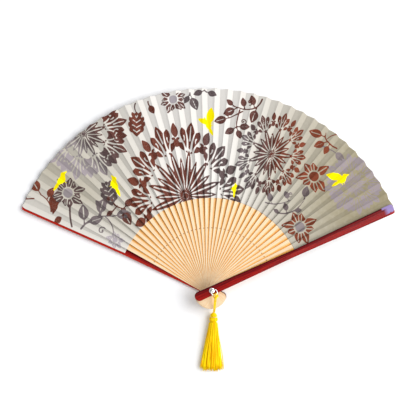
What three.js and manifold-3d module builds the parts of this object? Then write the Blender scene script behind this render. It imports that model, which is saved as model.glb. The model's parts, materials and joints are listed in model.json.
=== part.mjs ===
// A folding hand fan with lacquered guards, bamboo ribs, a pleated cloth leaf and a silk tassel.
//
// Units are millimetres. The origin is on the pivot axis, in the plane that the fan lies on, and +Z
// rises through the stack of sticks to the front of the fan. A stick's own frame has +Y from the pivot
// to its tip and +X to its right, as seen from the front.
import * as THREE from 'three';
import { mergeVertices } from 'three/addons/utils/BufferGeometryUtils.js';
import Module from 'manifold-3d';

const wasm = await Module();
wasm.setup();

// ---- Driving dimensions -------------------------------------------------------------------------

const RIB_COUNT = 34;
const BACK_GUARD_ANGLE = 155.5; // degrees from +X to the back guard
const OPEN_ANGLE = 131.3; // degrees from the back guard to the front guard
const PITCH_ANGLE = OPEN_ANGLE / (RIB_COUNT + 1);

const HEAD_REACH = 17; // from the pivot to the round end of a stick
const GUARD_REACH = 193; // from the pivot to the tip of a guard
const LEAF_INNER = 88;
const LEAF_OUTER = 193.7;
const RIDGE_LEAD = 0.4; // how far a ridge stands out past the leaf's mean edge, and a valley back

const GUARD_THICK = 2.3;
const RIB_THICK = 0.36;
const BLADE_THICK = 0.22;
const LAYER = 0.42; // height from one rib to the next
const LEAF_THICK = 0.06;
const LEAF_GAP = 0.04;
const UNDER_GUARD_GAP = 0.09;

const TILT = 0.3; // sideways slope of ribs, guards and glued panels where the leaf is
const TILT_START = 15; // a stick is flat up to here, and twists from here to the leaf

const PIN_RADIUS = 1.15;
const BORE_RADIUS = 1.24;
const PIN_HEAD_RADIUS = 2; // flush head, in the back guard's seat
const PIN_HEAD_THICK = 0.45;
const FLANGE_RADIUS = 1.9; // on the front washer, under the eye
const FLANGE_THICK = 0.35;
const FRONT_WASHER_RADIUS = 2.6;
const FRONT_WASHER_THICK = 0.5;
const BACK_WASHER_RADIUS = 2.9;
const BACK_WASHER_THICK = 0.35;
const BACK_WASHER_Z = 0.53;
const SEAT_RADIUS = 3.1;
const SEAT_DEPTH = 0.95;

const EYE_RADIUS = 1.25;
const EYE_WIRE = 0.38;
const RING_RADIUS = 2.75;
const RING_WIRE = 0.42;
const RING_DIRECTION = -38; // degrees from +X, from the pin's eye to the ring's far side
const RING_SLOPE = 5; // degrees, down towards the far side
const HITCH_DIRECTION = -68; // degrees from +X, from the ring's centre to the cord's hitch

const CORD_RADIUS = 0.55;
const TASSEL_TOP = [3.5, -20.5]; // where the knob begins
const TASSEL_LEAN = 2; // degrees, to the left of straight down
const KNOB_RADIUS = 3.35;
const KNOB_LENGTH = 4.4;
const BAND_RADIUS = 4.2;
const BAND_LENGTH = 3.8;
const SKIRT_END_Y = 55.4; // from the top of the knob to the tips of the threads
const SKIRT_HALF_WIDTH = 12;

// ---- Heights of the layers ----------------------------------------------------------------------

const FIRST_RIB_Z = GUARD_THICK + 0.16;
const LAST_RIB_Z = FIRST_RIB_Z + (RIB_COUNT - 1) * LAYER;
const FRONT_GUARD_Z = LAST_RIB_Z + 0.48;
const TOP_Z = FRONT_GUARD_Z + GUARD_THICK;

const ribZ = (i) => FIRST_RIB_Z + (i - 1) * LAYER;

// ---- Small helpers ------------------------------------------------------------------------------

const radians = THREE.MathUtils.degToRad;
const lerp = THREE.MathUtils.lerp;
const point = (x, y, z) => new THREE.Vector3(x, y, z);
const stickTurn = (i) => radians(BACK_GUARD_ANGLE - i * PITCH_ANGLE - 90);

// Value at y on the straight lines through [y, value] pairs.
function along(pairs, y) {
  const next = pairs.findIndex(([at]) => at >= y);
  if (next === 0) return pairs[0][1];
  if (next < 0) return pairs.at(-1)[1];
  const [y0, v0] = pairs[next - 1];
  const [y1, v1] = pairs[next];
  return lerp(v0, v1, (y - y0) / (y1 - y0));
}

// How steeply a stick slopes sideways at distance y from the pivot.
const tiltAt = (y) => along([[TILT_START, 0], [LEAF_INNER, TILT]], y);

function geometryFrom(points, triangles) {
  const geometry = new THREE.BufferGeometry();
  geometry.setAttribute('position', new THREE.Float32BufferAttribute(points.flatMap((p) => p.toArray()), 3));
  geometry.setIndex(triangles.flat());
  geometry.computeVertexNormals();
  return geometry;
}

// A closed solid through a row of rings, each running anticlockwise as seen from the row's first end.
// The diagonals of opposite faces lean the same way, so that a twisted strip keeps its thickness.
function loft(rings) {
  const n = rings[0].length;
  const triangles = [];
  for (let k = 0; k + 1 < rings.length; k++) {
    for (let j = 0; j < n; j++) {
      const [a, b] = [k * n + j, k * n + (j + 1) % n];
      const [d, c] = [a + n, b + n];
      const leansRight = rings[k][j].x < rings[k][(j + 1) % n].x;
      triangles.push(...(leansRight ? [[a, d, c], [a, c, b]] : [[a, d, b], [d, c, b]]));
    }
  }
  const last = (rings.length - 1) * n;
  for (let j = 1; j + 1 < n; j++) {
    triangles.push([0, j, j + 1], [last, last + j + 1, last + j]);
  }
  return geometryFrom(rings.flat(), triangles);
}

function toManifold(geometry) {
  const bare = geometry.clone();
  bare.deleteAttribute('normal');
  bare.deleteAttribute('uv');
  const merged = mergeVertices(bare, 1e-5);
  return new wasm.Manifold(new wasm.Mesh({
    numProp: 3,
    vertProperties: new Float32Array(merged.getAttribute('position').array),
    triVerts: new Uint32Array(merged.getIndex().array),
  }));
}

function fromManifold(solid) {
  const mesh = solid.getMesh();
  const geometry = new THREE.BufferGeometry();
  geometry.setAttribute('position', new THREE.BufferAttribute(mesh.vertProperties, 3));
  geometry.setIndex(new THREE.BufferAttribute(mesh.triVerts, 1));
  geometry.computeVertexNormals();
  return geometry;
}

// An upright cylinder about the pivot axis, from z0 to z1.
function upright(radius, z0, z1, sides = 16) {
  const geometry = new THREE.CylinderGeometry(radius, radius, z1 - z0, sides);
  geometry.rotateX(Math.PI / 2);
  geometry.translate(0, 0, (z0 + z1) / 2);
  return geometry;
}

function cut(geometry, ...cutters) {
  let solid = toManifold(geometry);
  for (const cutter of cutters) solid = solid.subtract(toManifold(cutter));
  return fromManifold(solid);
}

function join(...geometries) {
  let solid = toManifold(geometries[0]);
  for (const other of geometries.slice(1)) solid = solid.add(toManifold(other));
  return fromManifold(solid);
}

// ---- Plan of the sticks -------------------------------------------------------------------------

// Half widths of a stick with a round head of the given radius; the rest follows straight lines.
function halfWidth(plan, headRadius, y) {
  const centre = headRadius - HEAD_REACH;
  if (y < centre) return Math.sqrt(Math.max(headRadius ** 2 - (y - centre) ** 2, 0.8 ** 2));
  return along([[centre, headRadius], ...plan], y);
}

// Distances along a stick where its round head needs a section.
function headStations(headRadius, steps) {
  const centre = headRadius - HEAD_REACH;
  return Array.from({ length: steps + 1 }, (_, k) => centre - headRadius * Math.cos((k / steps) * (Math.PI / 2)));
}

// ---- Ribs ---------------------------------------------------------------------------------------

const RIB_HEAD = 4.3;
const RIB_PLAN = [[0, 4.15], [LEAF_INNER, 2.92], [92, 2.92], [96, 1.5], [186, 1.25], [189, 0.5]];

// One rib, with its underside at z = 0 on its own centre line. Every rib twists the same way, left edge
// up, so that the ribs nest as they close.
function ribGeometry() {
  const stations = [...headStations(RIB_HEAD, 3), TILT_START, 40, 64, 86, 92, 96, 186, 189];
  const thickness = (y) => along([[60, RIB_THICK], [86, BLADE_THICK]], y);
  const rings = stations.map((y) => {
    const w = halfWidth(RIB_PLAN, RIB_HEAD, y);
    const rise = tiltAt(y) * w;
    const t = thickness(y);
    return [point(-w, y, rise), point(w, y, -rise), point(w, y, t - rise), point(-w, y, t + rise)];
  });
  return cut(loft(rings), upright(BORE_RADIUS, -1, 1));
}

// ---- Guards -------------------------------------------------------------------------------------

const GUARD_HEAD = 4.4;
const GUARD_PLAN = [[0, 4.15], [LEAF_INNER, 3.25], [190, 4.75], [192.2, 4.3], [GUARD_REACH, 3.2]];
const GUARD_STATIONS = [...headStations(GUARD_HEAD, 5), 0, TILT_START, 40, 64, LEAF_INNER, 125, 160, 190, 192.2,
  GUARD_REACH];

// The outer face: [share of the half width, drop below its ridge], from the right edge to the left. The
// ridge lies left of the middle, with a steeper facet beyond it.
const OUTER_FACE = [[1, 0.5], [0.88, 0.16], [0.6, 0.06], [-0.3, 0], [-0.84, 0.5], [-1, 0.85]];

// The back guard's outer face, which is flat between rounded edges: [share of the half width, lift].
const FLAT_FACE = [[-1, 0.5], [-0.88, 0.14], [-0.6, 0], [0.6, 0], [0.88, 0.14], [1, 0.5]];

// The back guard lies on its outer face, and its inner face slopes as the ribs do.
function backGuardGeometry() {
  const rings = GUARD_STATIONS.map((y) => {
    const w = halfWidth(GUARD_PLAN, GUARD_HEAD, y);
    const rise = tiltAt(y) * w;
    const under = FLAT_FACE.map(([share, lift]) => point(share * w, y, lift));
    return [...under, point(w, y, GUARD_THICK - rise), point(-w, y, GUARD_THICK + rise)];
  });
  return cut(loft(rings), upright(BORE_RADIUS, -1, GUARD_THICK + 1), upright(SEAT_RADIUS, -1, SEAT_DEPTH, 28));
}

// The front guard's inner face slopes as the ribs do, and its outer face half as much.
function frontGuardGeometry() {
  const rings = GUARD_STATIONS.map((y) => {
    const w = halfWidth(GUARD_PLAN, GUARD_HEAD, y);
    const rise = tiltAt(y) * w;
    const over = OUTER_FACE.map(([share, drop]) => point(share * w, y, GUARD_THICK - drop - share * rise / 2));
    return [point(-w, y, rise), point(w, y, -rise), ...over];
  });
  return cut(loft(rings), upright(BORE_RADIUS, -1, GUARD_THICK + 1));
}

// ---- Leaf ---------------------------------------------------------------------------------------

const LEAF_STATIONS = [LEAF_INNER, 92, 100, 115, 135, 160, LEAF_OUTER];
const PANEL_LEFT = [[LEAF_INNER, 3.0], [LEAF_OUTER, 2.7]]; // glued panel's ridge, left of its rib
const PANEL_RIGHT = [[LEAF_INNER, 2.5], [LEAF_OUTER, 2.7]]; // its valley, right of its rib
const EDGE_MARGIN = 2.1; // the strip of the back guard that the leaf leaves bare

// Underside of the panel glued to stick i, on that stick's centre line.
function panelZ(i) {
  if (i === 0) return GUARD_THICK + LEAF_GAP;
  if (i > RIB_COUNT) return FRONT_GUARD_Z - UNDER_GUARD_GAP - LEAF_THICK;
  return ribZ(i) + BLADE_THICK + LEAF_GAP;
}

// Ridge and valley of the panel on stick i, at distance y from the pivot.
function foldLines(i, y) {
  const left = i === 0 ? along(GUARD_PLAN, y) - EDGE_MARGIN : along(PANEL_LEFT, y);
  const right = along(PANEL_RIGHT, y);
  const lead = y === LEAF_OUTER ? RIDGE_LEAD : 0;
  const place = (x, reach) => point(x, reach, panelZ(i) - TILT * x).applyAxisAngle(point(0, 0, 1), stickTurn(i));
  return [place(-left, y + lead), place(right, y - lead)];
}

// Moves each point of a row outwards by the leaf's thickness, mitred at the folds.
function offsetRow(row, outward) {
  const sides = row.slice(1).map((p, j) => {
    const step = p.clone().sub(row[j]);
    return step.cross(outward((j + 0.5) / (row.length - 1))).normalize();
  });
  return row.map((p, j) => {
    const before = sides[Math.max(j - 1, 0)];
    const after = sides[Math.min(j, sides.length - 1)];
    const mitre = before.clone().add(after).divideScalar(1 + before.dot(after));
    return p.clone().addScaledVector(mitre, LEAF_THICK);
  });
}

// One sheet over all the sticks: a panel glued on each, and a free panel up to the next one's ridge.
function leafGeometry() {
  const sticks = Array.from({ length: RIB_COUNT + 2 }, (_, i) => i);
  const under = LEAF_STATIONS.map((y) => sticks.flatMap((i) => foldLines(i, y)));
  const radial = (share) => {
    const turn = radians(BACK_GUARD_ANGLE - share * OPEN_ANGLE);
    return point(Math.cos(turn), Math.sin(turn), 0);
  };
  const over = under.map((row) => offsetRow(row, radial));
  const n = under[0].length;
  const rows = under.length;
  const at = (k, j) => k * n + j;
  const top = rows * n;
  const triangles = [];
  const quad = (a, b, c, d) => triangles.push([a, b, c], [a, c, d]);
  for (let k = 0; k + 1 < rows; k++) {
    for (let j = 0; j + 1 < n; j++) {
      quad(at(k, j), at(k + 1, j), at(k + 1, j + 1), at(k, j + 1));
      quad(top + at(k, j), top + at(k, j + 1), top + at(k + 1, j + 1), top + at(k + 1, j));
    }
    quad(at(k, 0), top + at(k, 0), top + at(k + 1, 0), at(k + 1, 0));
    quad(at(k + 1, n - 1), top + at(k + 1, n - 1), top + at(k, n - 1), at(k, n - 1));
  }
  for (let j = 0; j + 1 < n; j++) {
    quad(at(0, j + 1), top + at(0, j + 1), top + at(0, j), at(0, j));
    quad(at(rows - 1, j), top + at(rows - 1, j), top + at(rows - 1, j + 1), at(rows - 1, j + 1));
  }
  return geometryFrom([...under.flat(), ...over.flat()], triangles);
}

// ---- Pivot --------------------------------------------------------------------------------------

const WASHER_INNER = PIN_RADIUS + 0.1;
const WASHER_TOP = TOP_Z + 0.05 + FRONT_WASHER_THICK;
const FLANGE_TOP = WASHER_TOP + FLANGE_THICK;
const EYE_Z = FLANGE_TOP + EYE_RADIUS - EYE_WIRE;
const EYE = point(0, 0, EYE_Z);

function ringGeometry(radius, wire, around, sides) {
  return new THREE.TorusGeometry(radius, wire, sides, around);
}

// The pin: a flush head at the back, the shaft, a flange over the front washer and an upright eye.
function pinGeometry() {
  const profile = [[0, 0], [PIN_HEAD_RADIUS, 0], [PIN_HEAD_RADIUS, PIN_HEAD_THICK], [PIN_RADIUS, PIN_HEAD_THICK],
    [PIN_RADIUS, WASHER_TOP + 0.05], [FLANGE_RADIUS, WASHER_TOP + 0.05], [FLANGE_RADIUS, FLANGE_TOP - 0.1],
    [FLANGE_RADIUS - 0.5, FLANGE_TOP], [0, FLANGE_TOP]];
  const shaft = new THREE.LatheGeometry(profile.map(([r, z]) => new THREE.Vector2(r, z)), 24);
  shaft.rotateX(Math.PI / 2);
  const eye = ringGeometry(EYE_RADIUS, EYE_WIRE, 20, 8);
  eye.rotateX(Math.PI / 2);
  eye.rotateZ(radians(RING_DIRECTION));
  eye.translate(0, 0, EYE_Z - 0.1);
  return join(shaft, eye);
}

// A flat ring about the pivot axis, with its lower face at z = 0.
function washerGeometry(outer, thick) {
  const bevel = 0.12;
  const profile = [[WASHER_INNER, 0], [outer - bevel, 0], [outer, bevel], [outer, thick - bevel],
    [outer - bevel, thick], [WASHER_INNER, thick], [WASHER_INNER, 0]];
  const geometry = new THREE.LatheGeometry(profile.map(([r, z]) => new THREE.Vector2(r, z)), 24);
  geometry.rotateX(Math.PI / 2);
  return geometry;
}

// ---- Jump ring ----------------------------------------------------------------------------------

const RING_FRAME = new THREE.Matrix4().multiplyMatrices(
  new THREE.Matrix4().makeRotationZ(radians(RING_DIRECTION)),
  new THREE.Matrix4().makeRotationY(radians(RING_SLOPE)),
);
const RING_CENTRE = point(RING_RADIUS, 0, 0).applyMatrix4(RING_FRAME).add(EYE);

function jumpRingGeometry() {
  const geometry = ringGeometry(RING_RADIUS, RING_WIRE, 28, 8);
  geometry.applyMatrix4(RING_FRAME);
  geometry.translate(...RING_CENTRE.toArray());
  return geometry;
}

// ---- Tassel cord --------------------------------------------------------------------------------

const HITCH_OUT = point(Math.cos(radians(HITCH_DIRECTION)), Math.sin(radians(HITCH_DIRECTION)), 0);
const HITCH_SIDE = point(-HITCH_OUT.y, HITCH_OUT.x, 0);
const HITCH_CENTRE = point(RING_RADIUS * Math.cos(radians(HITCH_DIRECTION - RING_DIRECTION)),
  RING_RADIUS * Math.sin(radians(HITCH_DIRECTION - RING_DIRECTION)), 0)
  .applyMatrix4(RING_FRAME).add(RING_CENTRE);

// A point of the hitch: side along the ring's wire, out away from the pin, and up.
const hitchPoint = (side, out, up) => HITCH_CENTRE.clone()
  .addScaledVector(HITCH_SIDE, side).addScaledVector(HITCH_OUT, out).add(point(0, 0, up));

// Half of the lark's head, from the free strand to the middle of the bar; sign is -1 for the left half.
const halfHitch = (sign) => [
  hitchPoint(sign * 0.64, 1.35, 0.5),
  hitchPoint(sign * 0.64, 0.6, 1.02),
  hitchPoint(sign * 0.7, -0.25, 1.17),
  hitchPoint(sign * 0.95, -1.25, 0.6),
  hitchPoint(sign * 1.3, -1.42, -0.25),
  hitchPoint(sign * 1.72, -0.85, -1.13),
  hitchPoint(sign * 1.98, 0.6, -1.05),
  hitchPoint(sign * 2.0, 1.45, -0.25),
  hitchPoint(sign * 1.75, 2.0, 0.75),
  hitchPoint(sign * 0.95, 2.1, 1.5),
];

// The strands, from the knob over the edge of the sticks' heads and straight up to the ring.
const LEFT_STRAND = [[2.9, -20.1, 5.3], [2.88, -19.3, 8], [2.84, -17.9, 10.7], [2.8, -15.8, 12.7],
  [2.75, -12, 15.9], [2.75, -8.2, 19]];
const RIGHT_STRAND = [[4.05, -20.1, 5.3], [4.03, -19.3, 8], [3.99, -17.9, 10.7], [3.95, -15.8, 12.7],
  [3.9, -12, 15.9], [3.95, -7.9, 18.9]];

function cordGeometry() {
  const route = [
    ...LEFT_STRAND.map((p) => point(...p)),
    ...halfHitch(-1),
    ...halfHitch(1).reverse(),
    ...RIGHT_STRAND.map((p) => point(...p)).reverse(),
  ];
  const section = new THREE.Shape();
  for (let k = 0; k < 8; k++) {
    const turn = (k / 8) * 2 * Math.PI;
    const [x, y] = [CORD_RADIUS * Math.cos(turn), CORD_RADIUS * Math.sin(turn)];
    if (k === 0) section.moveTo(x, y);
    else section.lineTo(x, y);
  }
  const path = new THREE.CatmullRomCurve3(route, false, 'centripetal');
  return new THREE.ExtrudeGeometry(section, { steps: 78, extrudePath: path });
}

// ---- Tassel, lying along -Y from its own top ----------------------------------------------------

const TASSEL_Z = BAND_RADIUS + 0.05;
const NECK_RADIUS = 2.9;
const BAND_START = KNOB_LENGTH + 0.1;
const BAND_END = BAND_START + BAND_LENGTH;

// A solid of revolution whose profile is [radius, distance down the tassel].
function turned(profile, sides) {
  const geometry = new THREE.LatheGeometry(profile.map(([r, s]) => new THREE.Vector2(r, s)), sides);
  geometry.rotateZ(Math.PI);
  geometry.translate(0, 0, TASSEL_Z);
  return geometry;
}

function knobGeometry() {
  const profile = [[0, 0]];
  for (let k = 1; k <= 6; k++) {
    const turn = (k / 8) * Math.PI;
    profile.push([KNOB_RADIUS * Math.sin(turn) ** 0.8, (KNOB_LENGTH / 2) * (1 - Math.cos(turn))]);
  }
  profile.push([NECK_RADIUS - 0.3, KNOB_LENGTH], [0, KNOB_LENGTH]);
  return turned(profile, 20);
}

function bandGeometry() {
  const inner = NECK_RADIUS + 0.3;
  const profile = [[inner, BAND_START], [BAND_RADIUS - 0.6, BAND_START], [BAND_RADIUS, BAND_START + 1],
    [BAND_RADIUS, BAND_END - 1], [BAND_RADIUS - 0.6, BAND_END], [inner, BAND_END], [inner, BAND_START]];
  return turned(profile, 20);
}

// The threads as one solid: a round neck through the band that flattens and spreads towards the tips.
function skirtGeometry() {
  const width = [[BAND_START, NECK_RADIUS], [BAND_END + 0.1, NECK_RADIUS], [BAND_END + 1.2, 4.3], [22, 6.1],
    [40, 9.4], [SKIRT_END_Y, SKIRT_HALF_WIDTH]];
  const height = [[BAND_START, NECK_RADIUS], [BAND_END + 0.1, NECK_RADIUS], [BAND_END + 1.2, 4.1], [26, 3.9],
    [SKIRT_END_Y, 2.6]];
  const rings = width.map(([s, w]) => {
    const h = along(height, s);
    const middle = s > BAND_END + 0.5 ? h + 0.1 : TASSEL_Z;
    return Array.from({ length: 18 }, (_, k) => {
      const turn = (k / 18) * 2 * Math.PI;
      return point(w * Math.cos(turn), -s, middle + h * Math.sin(turn));
    });
  });
  return loft(rings.reverse());
}

// ---- Materials and assembly ---------------------------------------------------------------------

const LOOKS = {
  lacquer: { color: 0x8e0f14, roughness: 0.22, metalness: 0 },
  bamboo: { color: 0xf0d6a4, roughness: 0.55, metalness: 0 },
  cloth: { color: 0xd6d2c4, roughness: 0.9, metalness: 0 },
  silver: { color: 0xd4d4d0, roughness: 0.2, metalness: 1 },
  silk: { color: 0xf7dc0c, roughness: 0.5, metalness: 0 },
};

const fan = new THREE.Group();

function addTo(group, name, look, geometry) {
  const mesh = new THREE.Mesh(geometry, new THREE.MeshStandardMaterial(LOOKS[look]));
  mesh.name = name;
  group.add(mesh);
  return mesh;
}

function addSticks() {
  const back = addTo(fan, 'back_guard', 'lacquer', backGuardGeometry());
  back.rotation.z = stickTurn(0);
  const rib = ribGeometry();
  for (let i = 1; i <= RIB_COUNT; i++) {
    const mesh = addTo(fan, `rib_${String(i).padStart(2, '0')}`, 'bamboo', rib.clone());
    mesh.rotation.z = stickTurn(i);
    mesh.position.z = ribZ(i);
  }
  const front = addTo(fan, 'front_guard', 'lacquer', frontGuardGeometry());
  front.rotation.z = stickTurn(RIB_COUNT + 1);
  front.position.z = FRONT_GUARD_Z;
}

function addPivot() {
  addTo(fan, 'pivot_pin', 'silver', pinGeometry());
  const back = addTo(fan, 'back_washer', 'silver', washerGeometry(BACK_WASHER_RADIUS, BACK_WASHER_THICK));
  back.position.z = BACK_WASHER_Z;
  const front = addTo(fan, 'front_washer', 'silver', washerGeometry(FRONT_WASHER_RADIUS, FRONT_WASHER_THICK));
  front.position.z = TOP_Z + 0.04;
  addTo(fan, 'jump_ring', 'silver', jumpRingGeometry());
}

function addTassel() {
  addTo(fan, 'tassel_cord', 'silk', cordGeometry());
  const tassel = new THREE.Group();
  addTo(tassel, 'tassel_knob', 'silk', knobGeometry());
  addTo(tassel, 'tassel_band', 'silk', bandGeometry());
  addTo(tassel, 'tassel_skirt', 'silk', skirtGeometry());
  tassel.position.set(...TASSEL_TOP, 0);
  tassel.rotation.z = -radians(TASSEL_LEAN);
  fan.add(tassel);
}

addSticks();
addTo(fan, 'leaf', 'cloth', leafGeometry());
addPivot();
addTassel();

export default fan;
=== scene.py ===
"""A folding hand fan: lacquered guards, bamboo ribs, a pleated printed leaf, plated pivot and silk tassel.

Shapes are worked out in millimetres, in the frame of the CAD model: the origin is on the pivot axis, and +Z
rises through the sticks to the front. A stick's own frame has +Y from the pivot to its tip and +X to its
right.
"""

import json
import math

import bpy
import numpy as np
from mathutils import Euler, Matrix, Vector


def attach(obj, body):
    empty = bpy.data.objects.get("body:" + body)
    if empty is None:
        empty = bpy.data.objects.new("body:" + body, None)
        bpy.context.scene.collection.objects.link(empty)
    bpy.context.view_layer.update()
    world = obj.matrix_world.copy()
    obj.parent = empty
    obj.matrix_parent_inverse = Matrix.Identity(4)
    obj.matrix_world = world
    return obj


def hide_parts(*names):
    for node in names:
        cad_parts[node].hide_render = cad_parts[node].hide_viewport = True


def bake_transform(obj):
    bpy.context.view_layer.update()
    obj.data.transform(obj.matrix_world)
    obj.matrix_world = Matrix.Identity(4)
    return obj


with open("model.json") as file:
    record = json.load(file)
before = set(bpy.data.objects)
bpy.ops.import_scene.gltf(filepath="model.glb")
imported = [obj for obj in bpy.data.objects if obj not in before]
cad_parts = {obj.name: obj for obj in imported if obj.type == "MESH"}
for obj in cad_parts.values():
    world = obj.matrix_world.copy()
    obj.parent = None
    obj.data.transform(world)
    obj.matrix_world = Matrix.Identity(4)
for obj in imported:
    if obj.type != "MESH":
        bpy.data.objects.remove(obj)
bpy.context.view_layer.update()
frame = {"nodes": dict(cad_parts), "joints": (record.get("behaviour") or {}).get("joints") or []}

# ---- Driving dimensions, in millimetres and radians ----

MM = 0.001
JOINTS = {joint["name"]: joint for joint in frame["joints"]}
RIBS = sorted(name for name in frame["nodes"] if name.startswith("rib_"))
STICKS = len(RIBS) + 2

BACK_GUARD_ANGLE = math.radians(155.5)
OPEN_ANGLE = math.radians(JOINTS["fold"]["range_deg"][1])
PITCH_ANGLE = OPEN_ANGLE / (STICKS - 1)

HEAD_REACH = 17.0
GUARD_REACH = 193.0
LEAF_INNER = 88.0
LEAF_OUTER = 193.7
RIDGE_LEAD = 0.4

GUARD_THICK = 2.3
RIB_THICK = 0.36
BLADE_THICK = 0.22
LAYER = 0.42
FIRST_RIB_Z = GUARD_THICK + 0.16
LAST_RIB_Z = FIRST_RIB_Z + (len(RIBS) - 1) * LAYER
FRONT_GUARD_Z = LAST_RIB_Z + 0.48
TOP_Z = FRONT_GUARD_Z + GUARD_THICK
LEAF_GAP = 0.04
LEAF_THICK = 0.04

TILT = 0.3
TILT_START = 15.0

PIN_RADIUS = 1.15
BORE_RADIUS = 1.24
WASHER_TOP = TOP_Z + 0.54
FLANGE_TOP = WASHER_TOP + 0.35
EYE = np.array(JOINTS["ring_swing"]["pos_m"]) / MM
EYE_RADIUS = 1.25
EYE_WIRE = 0.38
RING_RADIUS = 2.75
RING_WIRE = 0.42
RING_DIRECTION = math.radians(-38)
RING_SLOPE = math.radians(5)
HITCH = np.array(JOINTS["tassel_swing"]["pos_m"]) / MM
HITCH_DIRECTION = math.radians(-68)

CORD_RADIUS = 0.55
TASSEL_TOP = np.array([3.5, -20.5, 0.0])
TASSEL_LEAN = math.radians(2)
KNOB_RADIUS = 3.35
KNOB_LENGTH = 4.4
BAND_RADIUS = 4.2
BAND_START = KNOB_LENGTH + 0.1
BAND_END = BAND_START + 3.8
TASSEL_Z = BAND_RADIUS + 0.05
NECK_RADIUS = 2.9
SKIRT_END = 55.4
SKIRT_HALF_WIDTH = 12.0

rng = np.random.default_rng(11)


# ---- Mesh helpers ----


def mesh_from(name, points, faces):
    """A smooth mesh, from points in millimetres."""
    mesh = bpy.data.meshes.new(name)
    mesh.from_pydata((np.asarray(points, float) * MM).tolist(), [], faces)
    mesh.polygons.foreach_set("use_smooth", [True] * len(mesh.polygons))
    mesh.update()
    return mesh


def linked(name, data):
    """A new object in the scene."""
    obj = bpy.data.objects.new(name, data)
    bpy.context.scene.collection.objects.link(obj)
    return obj


def piece(name, mesh, material, turn=0.0, place=(0, 0, 0)):
    """An object in the scene, turned about the pivot axis and placed in millimetres."""
    obj = linked(name, mesh)
    if material.name not in mesh.materials:
        mesh.materials.append(material)
    obj.rotation_euler = (0, 0, turn)
    obj.location = Vector(place) * MM
    return obj


def joined(parts):
    """Several (points, faces) as one."""
    points, faces, start = [], [], 0
    for part_points, part_faces in parts:
        points.append(np.asarray(part_points, float))
        faces += [tuple(v + start for v in face) for face in part_faces]
        start += len(part_points)
    return np.concatenate(points), faces


def lofted(rings, closed=False):
    """(points, faces) of a surface through a row of rings, with flat ends unless the row is closed."""
    rings = np.asarray(rings, float)
    count, n = rings.shape[:2]
    faces = []
    for k in range(count if closed else count - 1):
        a, b = k * n, (k + 1) % count * n
        faces += [(a + j, a + (j + 1) % n, b + (j + 1) % n, b + j) for j in range(n)]
    if not closed:
        faces.append(tuple(range(n))[::-1])
        faces.append(tuple((count - 1) * n + j for j in range(n)))
    return rings.reshape(-1, 3), faces


def unit(v):
    return v / np.linalg.norm(v, axis=-1, keepdims=True)


def whole_turn(steps):
    return np.linspace(0, 2 * math.pi, steps, endpoint=False)


def mark(mesh, **values):
    """Gives a mesh one number at each of its points, by name."""
    for name, value in values.items():
        mesh.attributes.new(name, "FLOAT", "POINT").data.foreach_set("value", value.astype(np.float32))


def tube(path, radius, sides=8, closed=False, section=None):
    """(points, faces) of a tube along a path.

    section(share, turns) scales the radius, by share of the length and turn about the path.
    """
    path = np.asarray(path, float)
    if closed:
        tangents = unit(np.roll(path, -1, 0) - np.roll(path, 1, 0))
    else:
        tangents = unit(np.gradient(path, axis=0))
    normal = unit(np.cross(tangents[0], [0.31, 0.17, 0.94]))
    turns = whole_turn(sides)
    radii = np.broadcast_to(radius, len(path))
    rings = []
    for k, (centre, tangent) in enumerate(zip(path, tangents)):
        normal = unit(normal - tangent * (normal @ tangent))
        side = np.cross(tangent, normal)
        scale = 1.0 if section is None else section(k / (len(path) - 1), turns)
        reach = (radii[k] * scale * np.ones(sides))[:, None]
        rings.append(centre + reach * (np.cos(turns)[:, None] * normal + np.sin(turns)[:, None] * side))
    return lofted(rings, closed)


def catmull(points, per_span):
    """A smooth (Catmull-Rom) path through points, each span divided into per_span steps."""
    p = np.asarray(points, float)
    p = np.vstack([2 * p[0] - p[1], p, 2 * p[-1] - p[-2]])
    made = []
    for k in range(1, len(p) - 2):
        a, b, c, d = p[k - 1 : k + 3]
        for s in np.arange(per_span) / per_span:
            square = 2 * a - 5 * b + 4 * c - d
            cube = 3 * b - a - 3 * c + d
            made.append(0.5 * (2 * b + (c - a) * s + square * s**2 + cube * s**3))
    made.append(p[-2])
    return np.array(made)


def stick_turn(i):
    """How far stick i is turned from +Y, counted from the back guard."""
    return BACK_GUARD_ANGLE - i * PITCH_ANGLE - math.pi / 2


def turned_by(points, turn):
    """Points turned about the pivot axis."""
    x, y, z = np.moveaxis(np.asarray(points, float), -1, 0)
    c, s = np.cos(turn), np.sin(turn)
    return np.stack([x * c - y * s, x * s + y * c, z], -1)


def tilt_at(y):
    """The sideways slope of a stick, which twists from flat at the pivot to its full tilt at the leaf."""
    return TILT * np.clip((y - TILT_START) / (LEAF_INNER - TILT_START), 0, 1)


# ---- Camera, stage and light ----


CAMERA_LENS = 82.03
CAMERA_PLACE = (-0.10383, -0.00645, 0.9)
CAMERA_TURN_DEG = (5.402, -6.492, 0)
FLOOR_HALF = 3000
FLOOR_Z = -0.05


def make_camera():
    """Almost straight above the leaf, a little to the left, about 0.9 m away."""
    data = bpy.data.cameras.new("camera")
    data.sensor_width = 36
    data.lens = CAMERA_LENS
    camera = linked("camera", data)
    camera.location = CAMERA_PLACE
    camera.rotation_euler = Euler([math.radians(degrees) for degrees in CAMERA_TURN_DEG])
    bpy.context.scene.camera = camera


def make_light(name, azimuth, elevation, distance, size, power):
    """A square soft light that faces the middle of the fan."""
    data = bpy.data.lights.new(name, "AREA")
    data.size = size
    data.energy = power
    light = linked(name, data)
    a, e = math.radians(azimuth), math.radians(elevation)
    outward = Vector((math.cos(a) * math.cos(e), math.sin(a) * math.cos(e), math.sin(e)))
    light.location = Vector((0, 0.08, 0)) + outward * distance
    light.rotation_mode = "QUATERNION"
    light.rotation_quaternion = outward.to_track_quat("Z", "Y")


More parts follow.
